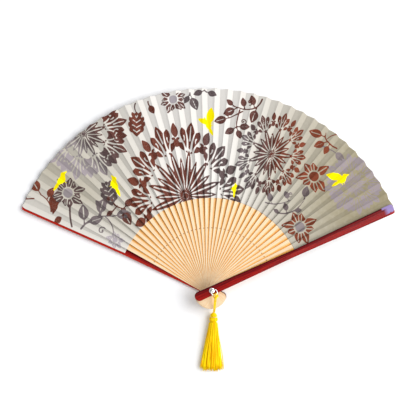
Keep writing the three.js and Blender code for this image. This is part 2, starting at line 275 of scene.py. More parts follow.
def make_stage():
    """A plain pale floor under even light from all round and one large soft light."""
    world = bpy.data.worlds.new("world")
    bpy.context.scene.world = world
    world.use_nodes = True
    background = world.node_tree.nodes["Background"]
    background.inputs["Color"].default_value = (0.97, 0.98, 1.0, 1)
    background.inputs["Strength"].default_value = 0.6
    make_light("key", azimuth=6, elevation=41, distance=1.9, size=2.2, power=52)
    bpy.context.scene.view_settings.view_transform = "Standard"
    corners = [(FLOOR_HALF * x, FLOOR_HALF * y, FLOOR_Z) for x, y in ((-1, -1), (1, -1), (1, 1), (-1, 1))]
    floor = piece("floor", mesh_from("floor", corners, [(0, 1, 2, 3)]), floor_material())


# ---- Node helpers ----


def put(tree, socket, value):
    """Sets a socket to a plain value, or links it to another socket."""
    if isinstance(value, bpy.types.NodeSocket):
        tree.links.new(value, socket)
    else:
        socket.default_value = value


def add(tree, kind, sockets=None, **settings):
    """A new shader node of that kind, with its sockets and settings filled in."""
    node = tree.nodes.new("ShaderNode" + kind)
    for key, value in settings.items():
        setattr(node, key, value)
    for key, value in (sockets or {}).items():
        put(tree, node.inputs[key], value)
    return node


def maths(tree, operation, a, b=0.0):
    return add(tree, "Math", {0: a, 1: b}, operation=operation).outputs[0]


def times(tree, a, b):
    return maths(tree, "MULTIPLY", a, b)


def mixed(tree, factor, a, b):
    """Colour a where factor is 0 or less, and b where it is 1 or more."""
    node = add(tree, "Mix", data_type="RGBA")
    put(tree, node.inputs[0], factor)
    put(tree, node.inputs[6], a)
    put(tree, node.inputs[7], b)
    return node.outputs[2]


def between(tree, value, low, high, out_low=0.0, out_high=1.0):
    """A smooth step from out_low to out_high, as value goes from low to high."""
    sockets = {"Value": value, "From Min": low, "From Max": high, "To Min": out_low, "To Max": out_high}
    return add(tree, "MapRange", sockets, interpolation_type="SMOOTHSTEP").outputs[0]


def noise(tree, vector, scale, detail=2.0, rough=0.5):
    sockets = {"Vector": vector, "Scale": scale, "Detail": detail, "Roughness": rough}
    return add(tree, "TexNoise", sockets).outputs["Fac"]


def millimetres(tree):
    """Object coordinates in millimetres."""
    coordinates = add(tree, "TexCoord").outputs["Object"]
    return add(tree, "VectorMath", {0: coordinates, 1: (1000, 1000, 1000)}, operation="MULTIPLY").outputs[0]


def stretched(tree, vector, scale):
    return add(tree, "VectorMath", {0: vector, 1: scale}, operation="MULTIPLY").outputs[0]


def attribute(tree, name):
    return add(tree, "Attribute", attribute_name=name).outputs["Fac"]


def bumped(tree, height, strength, distance):
    sockets = {"Height": height, "Strength": strength, "Distance": distance * MM}
    return add(tree, "Bump", sockets).outputs["Normal"]


def new_material(name, **constants):
    """A material with one Principled shader whose plain values are set on its own sockets."""
    material = bpy.data.materials.new(name)
    material.use_nodes = True
    tree = material.node_tree
    shader = tree.nodes["Principled BSDF"]
    for key, value in constants.items():
        shader.inputs[key.replace("_", " ")].default_value = value
    return material, tree, shader


def surface(tree, shader, colour, roughness=None, normal=None):
    """Links what varies over the surface to the shader."""
    for key, value in {"Base Color": colour, "Roughness": roughness, "Normal": normal}.items():
        if value is not None:
            put(tree, shader.inputs[key], value)


# ---- Materials ----


def floor_material():
    material, tree, shader = new_material("paper_floor", Roughness=0.9, Specular_IOR_Level=0.1)
    grain = noise(tree, millimetres(tree), 0.02, 3)
    surface(tree, shader, mixed(tree, grain, (0.94, 0.94, 0.95, 1), (0.96, 0.96, 0.96, 1)))
    return material


def lacquer_material():
    """Dark red lacquer, with painted shade and a painted highlight from the mark on the mesh, and a painted
    lavender reflection at one tip.
    """
    material, tree, shader = new_material(
        "lacquer",
        Roughness=0.32,
        Coat_Weight=0.07,
        Coat_Roughness=0.1,
        Coat_IOR=1.4,
        Specular_IOR_Level=0.1,
    )
    place = millimetres(tree)
    streaks = noise(tree, stretched(tree, place, (1.6, 0.05, 1.6)), 1.0, 4, 0.6)
    cloudy = noise(tree, place, 0.35, 2)
    red = mixed(tree, between(tree, streaks, 0.35, 0.7), (0.18, 0.001, 0.003, 1), (0.36, 0.009, 0.003, 1))
    red = mixed(tree, between(tree, cloudy, 0.4, 0.8, 0.0, 0.3), red, (0.1, 0.001, 0.003, 1))
    dark = attribute(tree, "dark")
    # Painted shade where the mark is above 0, and a painted highlight of bright orange red where it is below
    # 0.
    red = mixed(tree, dark, red, (0.055, 0.001, 0.004, 1))
    red = mixed(tree, times(tree, dark, -1), red, (0.56, 0.028, 0.003, 1))
    # Painted reflection: a lavender glare near the front guard's tip.
    red = mixed(tree, attribute(tree, "patch"), red, (0.28, 0.21, 0.44, 1))
    rough = between(tree, streaks, 0.2, 0.9, 0.2, 0.4)
    surface(tree, shader, red, rough, bumped(tree, streaks, 0.25, 0.06))
    return material


def bamboo_material():
    """Split bamboo: fibres along the stick, pores, and a painted shade of deep orange beside the stick that
    lies over it.
    """
    material, tree, shader = new_material("bamboo", Specular_IOR_Level=0.35)
    place = millimetres(tree)
    split = add(tree, "SeparateXYZ", {0: place})
    x, y = split.outputs[0], split.outputs[1]
    own = add(tree, "ObjectInfo").outputs["Random"]
    offset = add(tree, "CombineXYZ", {0: times(tree, own, 90), 1: times(tree, own, 700)})
    shifted = add(tree, "VectorMath", {0: place, 1: offset.outputs[0]}, operation="ADD").outputs[0]
    fibres = noise(tree, stretched(tree, shifted, (3.2, 0.05, 1.0)), 1.0, 4, 0.65)
    bands = noise(tree, stretched(tree, shifted, (0.9, 0.012, 1.0)), 1.0, 2)
    pale = mixed(tree, between(tree, fibres, 0.4, 0.64), (0.82, 0.67, 0.46, 1), (0.73, 0.48, 0.26, 1))
    pale = mixed(tree, between(tree, bands, 0.4, 0.75, 0.0, 0.45), pale, (0.83, 0.54, 0.3, 1))
    # Painted shade: a deep orange strip on this rib, beside the edge of the next rib that lies over it, from
    # past the hub outwards.
    covering = maths(tree, "SUBTRACT", times(tree, y, COVER_SLOPE), COVER_START)
    showing = maths(tree, "MAXIMUM", times(tree, y, math.tan(PITCH_ANGLE)), 0.4)
    share = maths(tree, "DIVIDE", maths(tree, "SUBTRACT", covering, x), showing)
    painted_shade_strip = between(tree, share, 0.52, 0.22)
    past_hub = between(tree, y, 2, 24)
    # The colours of the painted shade in that strip.
    deep = mixed(tree, between(tree, fibres, 0.3, 0.7), (0.96, 0.52, 0.13, 1), (0.9, 0.38, 0.06, 1))
    colour = mixed(tree, times(tree, painted_shade_strip, past_hub), pale, deep)
    cells = add(tree, "TexVoronoi", {"Vector": shifted, "Scale": 0.22, "Randomness": 1.0})
    pore = between(tree, cells.outputs["Distance"], 0.085, 0.045)
    row = maths(tree, "LESS_THAN", maths(tree, "ABSOLUTE", maths(tree, "SUBTRACT", y, MARK_REACH)), 0.5)
    dot = maths(tree, "LESS_THAN", maths(tree, "ABSOLUTE", maths(tree, "SUBTRACT", share, 0.4)), 0.14)
    marks = maths(tree, "MAXIMUM", times(tree, pore, 0.7), times(tree, row, dot))
    colour = mixed(tree, times(tree, marks, 0.75), colour, (0.1, 0.05, 0.03, 1))
    rough = between(tree, fibres, 0.2, 0.8, 0.42, 0.62)
    surface(tree, shader, colour, rough, bumped(tree, fibres, 0.35, 0.05))
    return material


def cloth_material():
    """Printed cotton in plain weave: a white ground turning to khaki, four tones of ink and yellow birds."""
    material, tree, shader = new_material(
        "printed_cloth", Roughness=0.85, Specular_IOR_Level=0.04, Sheen_Weight=0.03, Sheen_Roughness=0.5
    )
    place = millimetres(tree)
    tone = attribute(tree, "tone")
    ground = mixed(tree, attribute(tree, "khaki"), (0.74, 0.715, 0.68, 1), (0.285, 0.245, 0.15, 1))
    mottle = noise(tree, place, 0.25, 3)
    ground = mixed(tree, between(tree, mottle, 0.35, 0.8, 0.0, 0.1), ground, (0.72, 0.68, 0.6, 1))
    inks = add(tree, "ValToRGB", {"Fac": times(tree, maths(tree, "ADD", tone, 1), 1 / 3)})
    ramp = inks.color_ramp
    ramp.elements[0].color = (0.22, 0.045, 0.018, 1)
    ramp.elements[1].color = (0.3, 0.25, 0.31, 1)
    ramp.elements.new(1 / 3).color = (0.1, 0.017, 0.007, 1)
    ramp.elements.new(2 / 3).color = (0.085, 0.058, 0.06, 1)
    printed = between(tree, attribute(tree, "ink"), 0.16, -0.16)
    worn = between(tree, noise(tree, place, 1.7, 3), 0.25, 0.6, 0.86, 1.0)
    thin = times(tree, worn, between(tree, tone, 0.9, 1.7, 1.0, 0.72))
    colour = mixed(tree, times(tree, printed, thin), ground, inks.outputs["Color"])
    bird = between(tree, attribute(tree, "bird"), 0.15, -0.15)
    colour = mixed(tree, bird, colour, (0.97, 0.82, 0.0, 1))
    polar = add(tree, "CombineXYZ", {0: attribute(tree, "across"), 1: attribute(tree, "along")}).outputs[0]
    warp = add(tree, "TexWave", {"Vector": polar, "Scale": 0.7, "Distortion": 0.6}, bands_direction="X")
    weft = add(tree, "TexWave", {"Vector": polar, "Scale": 0.7, "Distortion": 0.6}, bands_direction="Y")
    weave = maths(tree, "ADD", warp.outputs["Fac"], weft.outputs["Fac"])
    surface(tree, shader, colour, normal=bumped(tree, maths(tree, "ADD", weave, mottle), 0.25, 0.06))
    return material


def silver_material():
    """Bright plating, with a painted shadow in the middle of the pin's head."""
    material, tree, shader = new_material("silver", Metallic=1.0, Specular_IOR_Level=0.5)
    place = millimetres(tree)
    worn = noise(tree, place, 1.2, 4, 0.6)
    split = add(tree, "SeparateXYZ", {0: place})
    flat = stretched(tree, place, (1, 1, 0))
    from_axis = add(tree, "VectorMath", {0: flat}, operation="LENGTH").outputs["Value"]
    low = between(tree, split.outputs[2], FLANGE_TOP + 0.35, FLANGE_TOP + 0.05)
    # Painted shadow: near black in the middle of the head, close to its top face.
    painted_shadow = times(tree, between(tree, from_axis, 1.7, 1.2, 0.0, 0.85), low)
    bright = mixed(tree, worn, (0.93, 0.92, 0.9, 1), (0.78, 0.78, 0.77, 1))
    colour = mixed(tree, painted_shadow, bright, (0.12, 0.11, 0.1, 1))
    surface(tree, shader, colour, between(tree, worn, 0.3, 0.8, 0.12, 0.32), bumped(tree, worn, 0.12, 0.03))
    return material


def silk_material():
    """Yellow thread: some threads and broad streaks are dyed deeper, towards orange."""
    material, tree, shader = new_material("silk", Roughness=0.5, Specular_IOR_Level=0.12)
    place = millimetres(tree)
    fine = noise(tree, stretched(tree, place, (7.0, 0.5, 7.0)), 1.0, 3, 0.6)
    broad = noise(tree, stretched(tree, place, (0.55, 0.02, 0.55)), 1.0, 2)
    own = add(tree, "NewGeometry").outputs["Random Per Island"]
    yellow = mixed(tree, between(tree, fine, 0.3, 0.75), (1.0, 0.85, 0.0, 1), (1.0, 0.7, 0.0, 1))
    streaks = between(tree, broad, 0.4, 0.6, 0.0, 0.6)
    deep = maths(tree, "ADD", streaks, between(tree, own, 0.5, 1.0, 0.0, 0.5))
    yellow = mixed(tree, maths(tree, "MINIMUM", deep, 1.0), yellow, (1.0, 0.5, 0.0, 1))
    surface(tree, shader, yellow, between(tree, fine, 0.2, 0.8, 0.35, 0.6), bumped(tree, fine, 0.3, 0.05))
    return material


# ---- Ribs ----

RIB_HEAD = 4.3
HUB_HALF = 4.15  # half the width of a stick at the pivot
RIB_HALF = 2.92  # half the width of a rib where the leaf starts
SHOULDER = 92  # where a rib starts to narrow to its blade
SHOULDER_END = 96
BLADE_END = 186
RIB_REACH = 189
RIB_PLAN = [(RIB_HEAD - HEAD_REACH, RIB_HEAD), (0, HUB_HALF), (LEAF_INNER, RIB_HALF), (SHOULDER, RIB_HALF),
            (SHOULDER_END, 1.5), (BLADE_END, 1.25), (RIB_REACH, 0.5)]  # (distance from the pivot, half width)
COVER_START = HUB_HALF  # the next rib's left edge, in this rib's frame, at the pivot
COVER_SLOPE = math.tan(PITCH_ANGLE) + (HUB_HALF - RIB_HALF) / LEAF_INNER
MARK_REACH = 59.5
THIN_START = 60  # a rib thins from here to the end of this stretch, where the leaf starts
THIN_END = 86


def half_width(plan, head, y):
    """Half the width of a stick with a round head, at distance y from the pivot."""
    centre = head - HEAD_REACH
    if y < centre:
        return math.sqrt(max(head**2 - (y - centre) ** 2, 0.8**2))
    return float(np.interp(y, *zip(*plan)))


def head_stations(head, steps):
    """Distances from the pivot at which a round head is cut into rings, from its end to its widest place."""
    return [head - HEAD_REACH - head * math.cos(k / steps * math.pi / 2) for k in range(steps)]


def with_bore(name, points, faces, low, high, seat=None):
    """The solid's mesh with the pin's hole cut through it, and any seat of (radius, low, high)."""
    body = linked(name, mesh_from(name, points, faces))
    cutters = [(BORE_RADIUS, low, high)] + ([seat] if seat else [])
    for radius, z0, z1 in cutters:
        cylinder = mesh_from("cutter", *revolved([(radius, z0), (radius, z1)], 32))
        modifier = body.modifiers.new("bore", "BOOLEAN")
        modifier.operation = "DIFFERENCE"
        modifier.object = linked("cutter", cylinder)
    evaluated = body.evaluated_get(bpy.context.evaluated_depsgraph_get())
    mesh = bpy.data.meshes.new_from_object(evaluated)
    mesh.name = name
    for modifier in list(body.modifiers):
        bpy.data.objects.remove(modifier.object)
    bpy.data.objects.remove(body)
    mesh.set_sharp_from_angle(angle=math.radians(35))
    return mesh


def rib_ring(y):
    """A rib's section: a thin strip with rounded edges, sheared to its tilt."""
    w = half_width(RIB_PLAN, RIB_HEAD, y)
    t = float(np.interp(y, [THIN_START, THIN_END], [RIB_THICK, BLADE_THICK]))
    edge = t / 2
    right = [(w - edge + edge * math.cos(a), edge + edge * math.sin(a)) for a in np.linspace(-1.5, 1.5, 5)]
    top = [(x, t) for x in np.linspace(w - 1.6 * edge, -w + 1.6 * edge, 6)]
    left = [(-x, z) for x, z in right[::-1]]
    under = [(x, 0.0) for x in np.linspace(-w + 1.6 * edge, w - 1.6 * edge, 4)]
    return [(x, y, z - tilt_at(y) * x) for x, z in right + top + left + under]


def make_ribs(material):
    stations = head_stations(RIB_HEAD, 9) + list(np.linspace(RIB_HEAD - HEAD_REACH, 8, 5))
    stations += list(np.linspace(TILT_START, THIN_END, 16)) + [LEAF_INNER, 90]
    stations += [SHOULDER, 93.3, 94.7, SHOULDER_END]
    stations += list(np.linspace(108, BLADE_END, 8)) + [187.5, RIB_REACH]
    mesh = with_bore("rib", *lofted([rib_ring(y) for y in stations]), -1, 1.5)
    for i, node in enumerate(RIBS, start=1):
        rib = piece("bamboo_" + node, mesh, material, stick_turn(i), (0, 0, FIRST_RIB_Z + (i - 1) * LAYER))
        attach(rib, node)
        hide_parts(node)


# ---- Guards ----

GUARD_HEAD = 4.4
GUARD_PLAN = [(GUARD_HEAD - HEAD_REACH, GUARD_HEAD), (0, HUB_HALF), (LEAF_INNER, 3.25), (190, 4.75),
              (192.2, 4.3), (GUARD_REACH, 3.2)]
GUARD_EDGE = 0.12
EDGE_LIFT = 0.5  # the back guard's outer face rises by this at its edges
RIDGE_SHARE = -0.3  # the front guard's ridge, as a share of its half width
RIGHT_FACE = (0.09, 0.41)  # how far the face right of the ridge falls evenly, and in its rounded edge
LEFT_FACE = (0.62, 0.23)
GLARE_LENGTH = 8.5


def guard_stations():
    shaft = list(np.linspace(-6, 181, 40))
    tip = [182.3, 182.7, 187, 189, 190, 190.8, 191.6, 192.2, 192.7, GUARD_REACH]
    return head_stations(GUARD_HEAD, 10) + [GUARD_HEAD - HEAD_REACH] + shaft + tip


def ridge_drop(share):
    """How far the front guard's outer face lies below its ridge: gently to the right, steeply to the left."""
    if share > RIDGE_SHARE:
        fall, rounding = RIGHT_FACE
        return fall * (share - RIDGE_SHARE) / (1 - RIDGE_SHARE) + rounding * share**9
    fall, rounding = LEFT_FACE
    left = (RIDGE_SHARE - share) / (1 + RIDGE_SHARE)
    return fall * left + rounding * left**6


def front_guard_ring(y):
    """The front guard's section: flat and tilted underneath, ridged on its outer face."""
    w = half_width(GUARD_PLAN, GUARD_HEAD, y)
    rise = tilt_at(y) * w
    under = [(-w, rise + GUARD_EDGE), (-w + GUARD_EDGE, rise),
             (w - GUARD_EDGE, -rise), (w, -rise + GUARD_EDGE)]
    shares = list(np.sin(np.linspace(math.pi / 2, -math.pi / 2, 19)))
    shares = sorted(shares + [RIDGE_SHARE - 0.03, RIDGE_SHARE + 0.03], reverse=True)
    over = [(s * w, GUARD_THICK - ridge_drop(s) - s * rise / 2) for s in shares]
    return [(x, y, z) for x, z in under + over]


def back_guard_ring(y):
    """The back guard's section: rounded towards the table, flat and tilted on top."""
    w = half_width(GUARD_PLAN, GUARD_HEAD, y)
    rise = tilt_at(y) * w
    shares = np.sin(np.linspace(-math.pi / 2, math.pi / 2, 19))
    under = [(s * w, EDGE_LIFT * abs(s) ** 7) for s in shares]
    over = [(w, GUARD_THICK - rise - GUARD_EDGE), (w - GUARD_EDGE, GUARD_THICK - rise),
            (-w + GUARD_EDGE, GUARD_THICK + rise), (-w, GUARD_THICK + rise - GUARD_EDGE)]
    return [(x, y, z) for x, z in under + over]


def tint_guard(mesh, darkness, patch):
    """Marks the painted reflection at the tip and the painted light on the lacquer, from (share of half
    width, value) pairs.

    A value of 1 is painted shade, nearly black, 0 is the plain red and -1 is a bright painted highlight.
    """
    points = np.zeros(len(mesh.vertices) * 3)
    mesh.vertices.foreach_get("co", points)
    x, y, z = points.reshape(-1, 3).T / MM
    half = np.interp(y, *zip(*GUARD_PLAN))
    dark = np.interp(x / half, *zip(*darkness))
    # The painted reflection covers the upper part of the front guard's tip, past a slanted line.
    past_slant = y > GUARD_REACH - GLARE_LENGTH + 3.5 * x / half
    on_patch = past_slant & (x < 0.5 * half) & (z > 0.5 * GUARD_THICK) & patch
    mark(mesh, dark=dark, patch=on_patch)


def make_guards(material):
    stations = guard_stations()
    mesh = with_bore("front_guard", *lofted([front_guard_ring(y) for y in stations]), -1, 4)
    # Painted shade along the front guard's upper edge and on its ridge.
    darkness = [(-0.8, 1), (-0.68, 0.4), (-0.42, 0.4), (-0.32, 0.9), (-0.2, 0.1), (0.1, 0), (1, 0)]
    tint_guard(mesh, darkness, True)
    front = piece("lacquer_front_guard", mesh, material, stick_turn(STICKS - 1), (0, 0, FRONT_GUARD_Z))
    seat = (3.1, -1.0, 0.95)
    mesh = with_bore("back_guard", *lofted([back_guard_ring(y) for y in stations]), -1.1, 4, seat)
    # Painted highlight along the back guard's outer edge, and painted shade on its side beside the ribs.
    tint_guard(mesh, [(-1, -0.4), (-0.8, -0.8), (-0.66, -0.3), (-0.4, 1)], False)
    back = piece("lacquer_back_guard", mesh, material, stick_turn(0))
    for guard, node in ((front, "front_guard"), (back, "back_guard")):
        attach(guard, node)
        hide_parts(node)


# ---- Print on the leaf ----

STROKE_STEPS = 12


class Print:
    """Printed shapes at points of the spread leaf: the distance to the nearest edge, and that shape's tone.

    A distance is in millimetres and negative inside a shape. A tone of -1 is rust, 0 brown, 1 grey and 2
    pale lavender. Directions are in degrees.
    """

    def __init__(self, x, y):
        self.x, self.y = x, y
        self.gap = np.full(x.shape, 3.0)
        self.tone = np.zeros(x.shape)
        self.space = None

    def local(self, centre, reach):
        """The points within reach of a centre: a mask, and their places from the centre."""
        if self.space is None:
            px, py = self.x, self.y
        else:
            px, py = self.space
        mask = (np.abs(px - centre[0]) < reach) & (np.abs(py - centre[1]) < reach)
        return mask, px[mask] - centre[0], py[mask] - centre[1]

    def stamp(self, mask, gap, tone):
        """Adds a shape of one tone, or of a tone given by a function of the place."""
        near = gap < self.gap[mask]
        index = np.flatnonzero(mask)[near]
        self.gap[index] = gap[near]
        value = tone(self.x[index], self.y[index]) if callable(tone) else tone
        self.tone[index] = value

    def petal(self, root, angle, length, width, tone, widest=0.45, bend=0.0, vein=0.0):
        """A pointed petal or leaf, widest at a share of its length, with a bare vein of that width."""
        mask, x, y = self.local(root, length * 1.3 + 1)
        a = math.radians(angle)
        s = x * math.cos(a) + y * math.sin(a)
        t = -x * math.sin(a) + y * math.cos(a)
        t = t - bend * s**2 / length
        share = np.clip(s / length, 0, 1)
        swell = math.log(0.5) / math.log(widest)
        edge = width / 2 * np.sin(math.pi * share**swell) ** 0.85
        gap = np.maximum(np.maximum(np.abs(t) - edge, s - length), -s)
        if vein:
            bare = np.where((share > 0.08) & (share < 0.86), vein / 2 - np.abs(t), -1)
            gap = np.maximum(gap, bare)
        self.stamp(mask, gap, tone)

    def stroke(self, start, control, end, width, taper):
        """The mask and distances of a curved stroke that thins towards its end."""
        start, control, end = (np.array(p, float) for p in (start, control, end))
        s = np.linspace(0, 1, STROKE_STEPS + 1)[:, None]
        path = (1 - s) ** 2 * start + 2 * s * (1 - s) * control + s**2 * end
        middle = path.mean(0)
        mask, x, y = self.local(middle, np.abs(path - middle).max() + 2)
        x, y = x + middle[0], y + middle[1]
        gap = np.full(x.shape, 9.0)
        for k, (p, q) in enumerate(zip(path[:-1], path[1:])):
            d = q - p
            along = np.clip(((x - p[0]) * d[0] + (y - p[1]) * d[1]) / (d @ d), 0, 1)
            off = np.hypot(x - p[0] - along * d[0], y - p[1] - along * d[1])
            gap = np.minimum(gap, off - width / 2 * (1 - (1 - taper) * k / STROKE_STEPS))
        return mask, gap

    def stem(self, start, control, end, width, tone, taper=0.6):
        mask, gap = self.stroke(start, control, end, width, taper)
        self.stamp(mask, gap, tone)

    def slit(self, start, control, end, width):
        """A bare stroke through the ink."""
        self.carve(*self.stroke(start, control, end, width, 0.5))

    def carve(self, mask, gap):
        """Takes the ink out of a shape."""
        self.gap[mask] = np.maximum(self.gap[mask], -gap)

    def disc(self, centre, radius, tone):
        mask, x, y = self.local(centre, radius + 2)
        self.stamp(mask, np.hypot(x, y) - radius, tone)

    def curl(self, centre, radius, angle, tone, width=1.0):
        """A spiral tendril."""
        for k in range(6):
            first, last = (radius * (1 - 0.13 * j) for j in (k, k + 1))
            bulge = (first + last) / 2 * 1.14
            steps = [(k, first), (k + 0.5, bulge), (k + 1, last)]
            self.stem(*(away(centre, angle + 62 * j, r) for j, r in steps), width, tone, taper=0.95)
        self.disc((centre[0] + radius * 0.12, centre[1]), width * 0.7, tone)


def away(point, angle, distance):
    """The place at a distance from a point, in a direction in degrees."""
    a = math.radians(angle)
    return (point[0] + distance * math.cos(a), point[1] + distance * math.sin(a))


def ahead(root, angle, size, *shares):
    """The places in a direction from a root, at shares of a size."""
    return [away(root, angle, share * size) for share in shares]


def beside(root, angle, size):
    """A function from (share along, share aside) to a point, for a motif of that size."""
    return lambda along, aside: away(away(root, angle, along * size), angle + 90, aside * size)


# (three places as shares along and aside, and a width) of the slits in each half of an acanthus leaf
LEAF_SLITS = [((0.1, 0.08), (0.4, 0.06), (0.72, 0.2), 0.08), ((0.06, 0.16), (0.2, 0.17), (0.4, 0.36), 0.07),
              ((0.52, 0.26), (0.44, 0.2), (0.36, 0.24), 0.05)]


def acanthus(p, root, angle, size, tone):
    """A broad leaf: a tall middle lobe, two hooked lobes on each side, and bare slits between them."""
    at = beside(root, angle, size)
    p.petal(at(0.1, 0), angle, 0.92 * size, 0.36 * size, tone, 0.56)
    for side in (-1, 1):
        p.petal(at(0.02, side * 0.06), angle + side * 11, 0.8 * size, 0.33 * size, tone, 0.68, side * 0.2)
        p.petal(at(-0.02, side * 0.05), angle + side * 36, 0.46 * size, 0.27 * size, tone, 0.62, side * 0.3)
        p.disc(at(0.64, side * 0.33), 0.075 * size, tone)
        for *places, width in LEAF_SLITS:
            p.slit(*(at(along, side * aside) for along, aside in places), width * size)
    p.slit(at(0.42, 0), at(0.6, 0), at(0.88, 0), 0.055 * size)


def bud(p, root, angle, size, tone):
    """A pointed leaf over a round berry, with two small side leaves."""
    p.disc(away(root, angle, 0.16 * size), 0.17 * size, tone)
    p.petal(away(root, angle, 0.4 * size), angle, 0.64 * size, 0.38 * size, tone, 0.42)
    middle = away(root, angle, 0.3 * size)
    for side in (-1, 1):
        p.petal(middle, angle + side * 62, 0.24 * size, 0.13 * size, tone, 0.5, side * 0.2)


def cone(p, root, angle, size, tone):
    """A long bud covered with scales: a pointed body with bare V-shaped slits."""
    at = beside(root, angle, size)
    p.petal(root, angle, size, 0.56 * size, tone, 0.48)
    for row in range(4):
        up = 0.16 + 0.2 * row
        wide = 0.26 * math.sin(math.pi * min(up + 0.12, 0.98))
        for side in (-1, 1):
            p.slit(at(up + 0.14, side * wide), at(up + 0.08, side * wide * 0.3), at(up, 0), 0.05 * size)
            p.petal(at(up, side * wide * 0.8), angle + side * 24, 0.26 * size, 0.15 * size, tone, 0.5)


def medallion(p, centre, rays, reach, sprays, tone, turn=0.0, stretch=1.0):
    """A round flower head: thin rays ringed by leaves and buds by turns, stretched along the ribs."""
    outward = math.atan2(centre[1], centre[0])
    c, s = math.cos(outward), math.sin(outward)
    dx, dy = p.x - centre[0], p.y - centre[1]
    p.space = ((dx * c + dy * s) / stretch, -dx * s + dy * c)
    turn = turn - math.degrees(outward)
    count = 10 + 2 * round(rays / 5)
    for k in range(count):
        angle = turn + 360 * k / count
        long = rays * (0.82 if k % 2 else 1.0)
        width = 2 * math.pi * 0.62 * long / count * 0.9
        p.petal(away((0, 0), angle, rays * 0.02), angle, long, width, tone, 0.6, vein=0.22 * width)
        between_rays = angle + 180 / count
        p.stem(*ahead((0, 0), between_rays, rays, 0.1, 0.3, 0.6), rays * 0.03, tone)
    p.disc((0, 0), rays * 0.06, tone)
    for k in range(sprays * 2):
        angle = turn + 180 * k / sprays
        base = rays * 0.94
        if k % 2:
            bud(p, away((0, 0), angle, base + 0.12 * rays), angle, (reach - base) * 0.76, tone)
        else:
            acanthus(p, away((0, 0), angle, base), angle, reach - base, tone)
    p.space = None


def blossom(p, centre, radius, petals, tone, heart, turn=0.0, span=360):
    """A flower: pointed petals with bare veins, over a whole turn or a part of one, round a pale heart."""
    step = span / petals if span == 360 else span / (petals - 1)
    for k in range(petals):
        angle = turn + step * k
        root = away(centre, angle, radius * 0.22)
        long = radius * (0.84, 0.56, 0.7)[k % 3]
        bend = 0.22 if k % 2 else -0.12
        p.petal(root, angle, long, radius * 0.5, tone, 0.36, bend, vein=0.06 * radius)
    for k in range(petals):
        angle = turn + step * (k + 0.5)
        p.slit(*ahead(centre, angle, radius, 0.3, 0.5, 0.8), 0.07 * radius)
    mask, x, y = p.local(centre, radius)
    p.carve(mask, np.hypot(x, y) - radius * 0.36)
    p.disc(centre, radius * 0.28, heart)


def twig(p, start, control, end, tone, leaves, width=1.1):
    """A stem with (share along it, angle, size) leaves."""
    p.stem(start, control, end, 1.25 * width, tone)
    start, control, end = (np.array(q, float) for q in (start, control, end))
    for share, angle, size in leaves:
        root = (1 - share) ** 2 * start + 2 * share * (1 - share) * control + share**2 * end
        p.stem(*ahead(root, angle, size, 0, 0.2, 0.45), width, tone)
        vein = max(0, size - 9) * 0.18
        p.petal(away(root, angle, size * 0.3), angle, size, size * 0.66, tone, 0.42, vein=vein)


def bird(p, at, facing, size, wings=(), flip=1):
    """A small plain bird from the side: round body and head, beak, tail, legs, and (angle, length) wings."""

    def point(along, up):
        return away(away(at, facing, along * size), facing + 90 * flip, up * size)

    for along, up, radius in [(0.1, 0, 0.165), (0.0, -0.01, 0.16), (-0.1, -0.02, 0.12), (0.19, 0.07, 0.13)]:
        p.disc(point(along, up), radius * size, 0)
    p.disc(point(0.27, 0.15), 0.12 * size, 0)
    p.petal(point(0.33, 0.16), facing - 6 * flip, 0.2 * size, 0.11 * size, 0, 0.3)
    p.petal(point(-0.02, 0.0), facing + 180 + 14 * flip, 0.62 * size, 0.17 * size, 0, 0.5)
    for angle, length in wings:
        p.petal(point(0.06, 0.02), angle, length, 0.46 * length, 0, 0.5, 0.15 * flip)
    for along in (-0.02, 0.1):
        p.stem(point(along, -0.1), point(along, -0.2), point(along + 0.03, -0.27), 0.8, 0)


